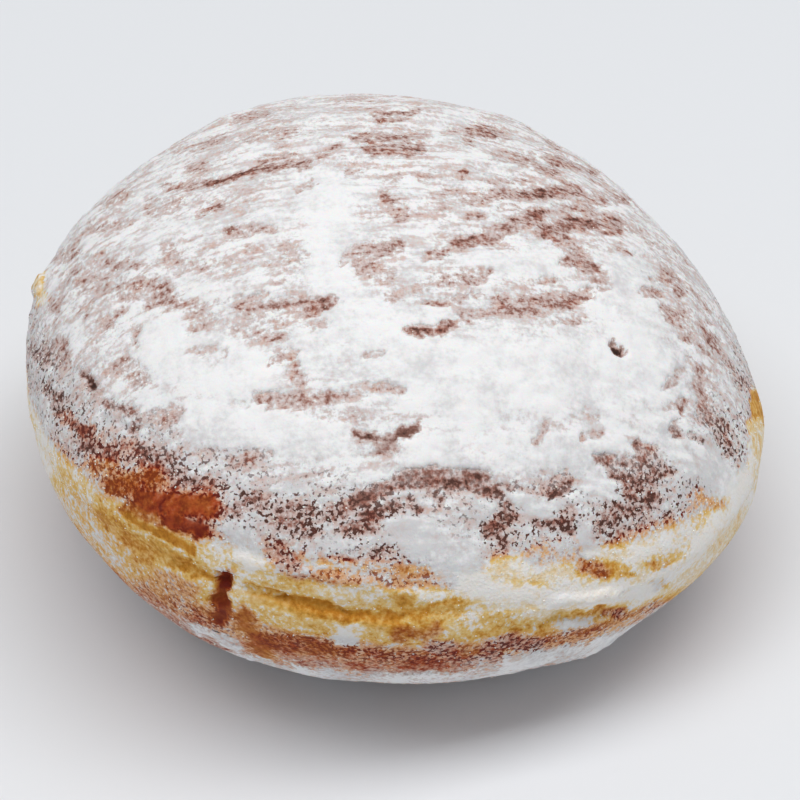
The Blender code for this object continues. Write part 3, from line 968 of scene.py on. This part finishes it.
def sugar_sheet(name, cells, lowest, highest, keep):
    """A sheet of sugar over part of the dough, as an object."""
    points = skin_under(net_directions(cells, lowest, highest))
    faces = net_faces(cells)
    plain, _ = mesh_from(name + " net", points, faces)
    if highest < 0:
        plain.flip_normals()
        faces = faces[:, ::-1]
    normals = read_mesh(plain)[1]
    bpy.data.meshes.remove(plain)
    fields = fields_at(points, normals)
    kept = keep(points)
    thick = sugar_thickness(points, fields) * kept - HIDDEN_MM * (1 - kept)
    placed = points + normals * (crust_relief(points, normals) + thick * MM)[:, None]
    faces = faces[thick[faces].max(1) > -CUT_BELOW_MM]
    mesh, used = mesh_from(name, placed, faces)
    mesh.shade_smooth()
    set_fields(mesh, {field: values[used] for field, values in fields.items()})
    unwrap(mesh)
    print(name, "has", 2 * len(faces), "triangles")
    return link(name, mesh)


def sugar_on_dome(points):
    """1 on the dome, falling to 0 in the waist."""
    return over(above_waist(points) + 1.5 * hills(points, 5 * MM, 72), 2.0, 5)


def sugar_round_foot(points):
    """1 round the foot, falling to 0 in the lower crust and where the dough rests."""
    ragged = 2.5 * hills(points, 5 * MM, 73)
    return ease((-4.0 - above_waist(points) + ragged) / 4) * over(points[:, 2] / MM, 0.3, 1.0)


dome_sugar = sugar_sheet("sugar_coat", *DOME_NET, sugar_on_dome)
foot_sugar = sugar_sheet("sugar_round_foot", *FOOT_NET, sugar_round_foot)

# %% [markdown]
# ## The sugar's finish
#
# Powdered sugar is nearly white and quite matt. Light goes a little way into it, so it has some
# subsurface scattering, and fine noise in the bump makes it look like powder, not like plaster.

# %% Sugar material
def sugar_material():
    recipe = Recipe("powdered sugar")
    colour, exposed = sugared_crust(recipe)
    powder = recipe.noise(0.30 * MM, detail=3, roughness=0.65)
    clots = recipe.noise(1.1 * MM, detail=3)
    recipe.bump(recipe.total((powder, 0.5), (clots, 0.4), (exposed, -0.6)), 0.14 * MM, 0.7)
    return recipe.finish(colour, 0.95, Subsurface_Weight=0.15, Subsurface_Scale=0.5 * MM,
                         Specular_IOR_Level=0.25)


sugar = sugar_material()
for sheet in (dome_sugar, foot_sugar):
    sheet.data.materials.append(sugar)
    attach(sheet, "root")
print("both sheets of sugar have their finish")

# %% [markdown]
# ## Loose grains
#
# Where the sugar is thin it lies as single clots, and they catch the light. Each clot is a
# twelve-pointed ball knocked out of shape, with a radius from 0.04 to 0.13 mm. They could be
# instances of one ball, but instances aren't kept by the export, so they are joined in one mesh.

# %% Scatter the grains
GRAIN_COUNT = 9500
GRAIN_RADII_MM = (0.04, 0.13)
GRAIN_STRAY = 0.22 * MM
chance = np.random.default_rng(7)


def one_ball():
    """The places and faces of an icosahedron."""
    bm = bmesh.new()
    bmesh.ops.create_icosphere(bm, subdivisions=1, radius=1)
    places = np.array([v.co for v in bm.verts])
    faces = np.array([[v.index for v in f.verts] for f in bm.faces])
    bm.free()
    return places, faces


def grain_spots(count):
    """Spots on the crust for grains, more of them where the sugar is thin and low down."""
    places, normals = read_mesh(skin)
    high = above_waist(places)
    thin = ease(skin_fields["bare"] / 0.35) * under(skin_fields["bare"], 0.95, 0.4)
    low = 0.25 + under(high, 16, 8) - 0.7 * under(np.abs(high), 4.5, 2)
    weight = thin * low * ease(places[:, 2] / (1.5 * MM))
    chosen = chance.choice(len(places), count, p=weight / weight.sum())
    aside = chance.normal(0, GRAIN_STRAY, (count, 3))
    aside -= normals[chosen] * (aside * normals[chosen]).sum(1)[:, None]
    return places[chosen] + aside


ball_points, ball_faces = one_ball()
spots = grain_spots(GRAIN_COUNT)
radii = GRAIN_RADII_MM[0] + np.ptp(GRAIN_RADII_MM) * chance.random(GRAIN_COUNT) ** 2
stretch = chance.uniform(0.5, 1.5, (GRAIN_COUNT, len(ball_points), 1))
grain_points = spots[:, None] + ball_points * stretch * (radii * MM)[:, None, None]
grain_faces = ball_faces + (np.arange(GRAIN_COUNT) * len(ball_points))[:, None, None]
grains_mesh, _ = mesh_from("grains", grain_points.reshape(-1, 3), grain_faces.reshape(-1, 3))
grains = link("sugar_grains", grains_mesh)
print(GRAIN_COUNT, "grains with", len(grains_mesh.polygons), "triangles")

# %% [markdown]
# Grains are as white as the sheets but too small to need lumps of their own, so their finish is
# the plainest one: white, rough and a little translucent.

# %% Grain material
def grain_material():
    recipe = Recipe("sugar grains")
    shade = recipe.noise(2.0 * MM)
    colour = recipe.mix(shade, SUGAR_COLOUR, VEILED_COLOURS[0])
    return recipe.finish(colour, 0.9, Subsurface_Weight=0.15, Subsurface_Scale=0.3 * MM,
                         Specular_IOR_Level=0.15)


grains.data.materials.append(grain_material())
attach(grains, "root")
print("grains have their finish")

# %% [markdown]
# ## The table, the light and the end
#
# The doughnut stands on a plain pale table under one wide soft light, almost straight above it, so
# that the shadow gathers under the rim. The rest of the light comes from all round.

# %% Table and light
TABLE_HALF = 3.0
TABLE_COLOUR = (0.77, 0.79, 0.82, 1)
LAMP_PLACE = Vector((0.03, -0.10, 1.00))
LAMP_AIM = Vector((0, 0, 0.02))
LAMP_WIDTH = 1.5
LAMP_DEPTH = 0.4
LAMP_WATTS = 9.3
ROOM_LIGHT = 0.36

corners = [(x * TABLE_HALF, y * TABLE_HALF, 0) for x, y in ((-1, -1), (1, -1), (1, 1), (-1, 1))]
table_mesh = bpy.data.meshes.new("table")
table_mesh.from_pydata(corners, [], [(0, 1, 2, 3)])
table_mesh.materials.append(Recipe("table").finish(TABLE_COLOUR, 0.7, Specular_IOR_Level=0.2))
table = link("table", table_mesh)

lamp = bpy.data.lights.new("wide soft light", "AREA")
lamp.shape = "RECTANGLE"
lamp.size = LAMP_WIDTH
lamp.size_y = LAMP_DEPTH
lamp.energy = LAMP_WATTS
lamp_holder = link("wide soft light", lamp)
lamp_holder.location = LAMP_PLACE
lamp_holder.rotation_euler = (LAMP_AIM - LAMP_PLACE).to_track_quat("-Z", "Y").to_euler()

world = bpy.data.worlds.new("room")
world.use_nodes = True
background = world.node_tree.nodes["Background"]
background.inputs["Color"].default_value = (1, 1, 1, 1)
background.inputs["Strength"].default_value = ROOM_LIGHT
bpy.context.scene.world = world
bpy.context.scene.view_settings.view_transform = "Standard"
print("table and light in place")
